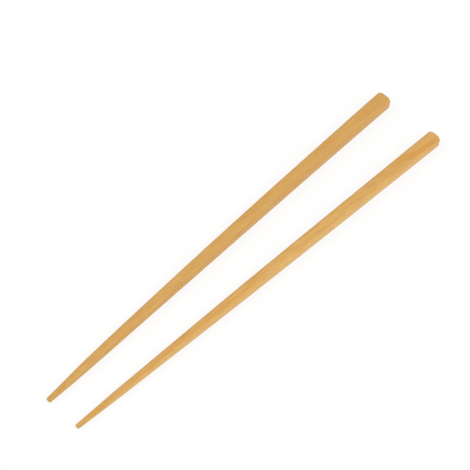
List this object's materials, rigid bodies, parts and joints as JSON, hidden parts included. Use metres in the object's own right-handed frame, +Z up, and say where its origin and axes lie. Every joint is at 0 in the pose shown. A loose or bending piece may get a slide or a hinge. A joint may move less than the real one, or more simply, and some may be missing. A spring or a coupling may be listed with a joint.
{
  "type": "pair of chopsticks",
  "caption": "Pair of slim tapered bamboo eating sticks, square with soft edges at the handle, round at the tip and domed at the butt, laid side by side.",
  "frame": {"origin": "on the surface that the pair lies on, at the middle of the pair's box", "axes": "+X along the pair from the tips to the butts, +Y towards the left chopstick, +Z up"},
  "size_m": [0.2409, 0.0424, 0.0082],
  "materials": {
    "bamboo": "satin"
  },
  "bodies": {
    "root": {"left_chopstick": "bamboo", "right_chopstick": "bamboo"}
  },
  "joints": []
}
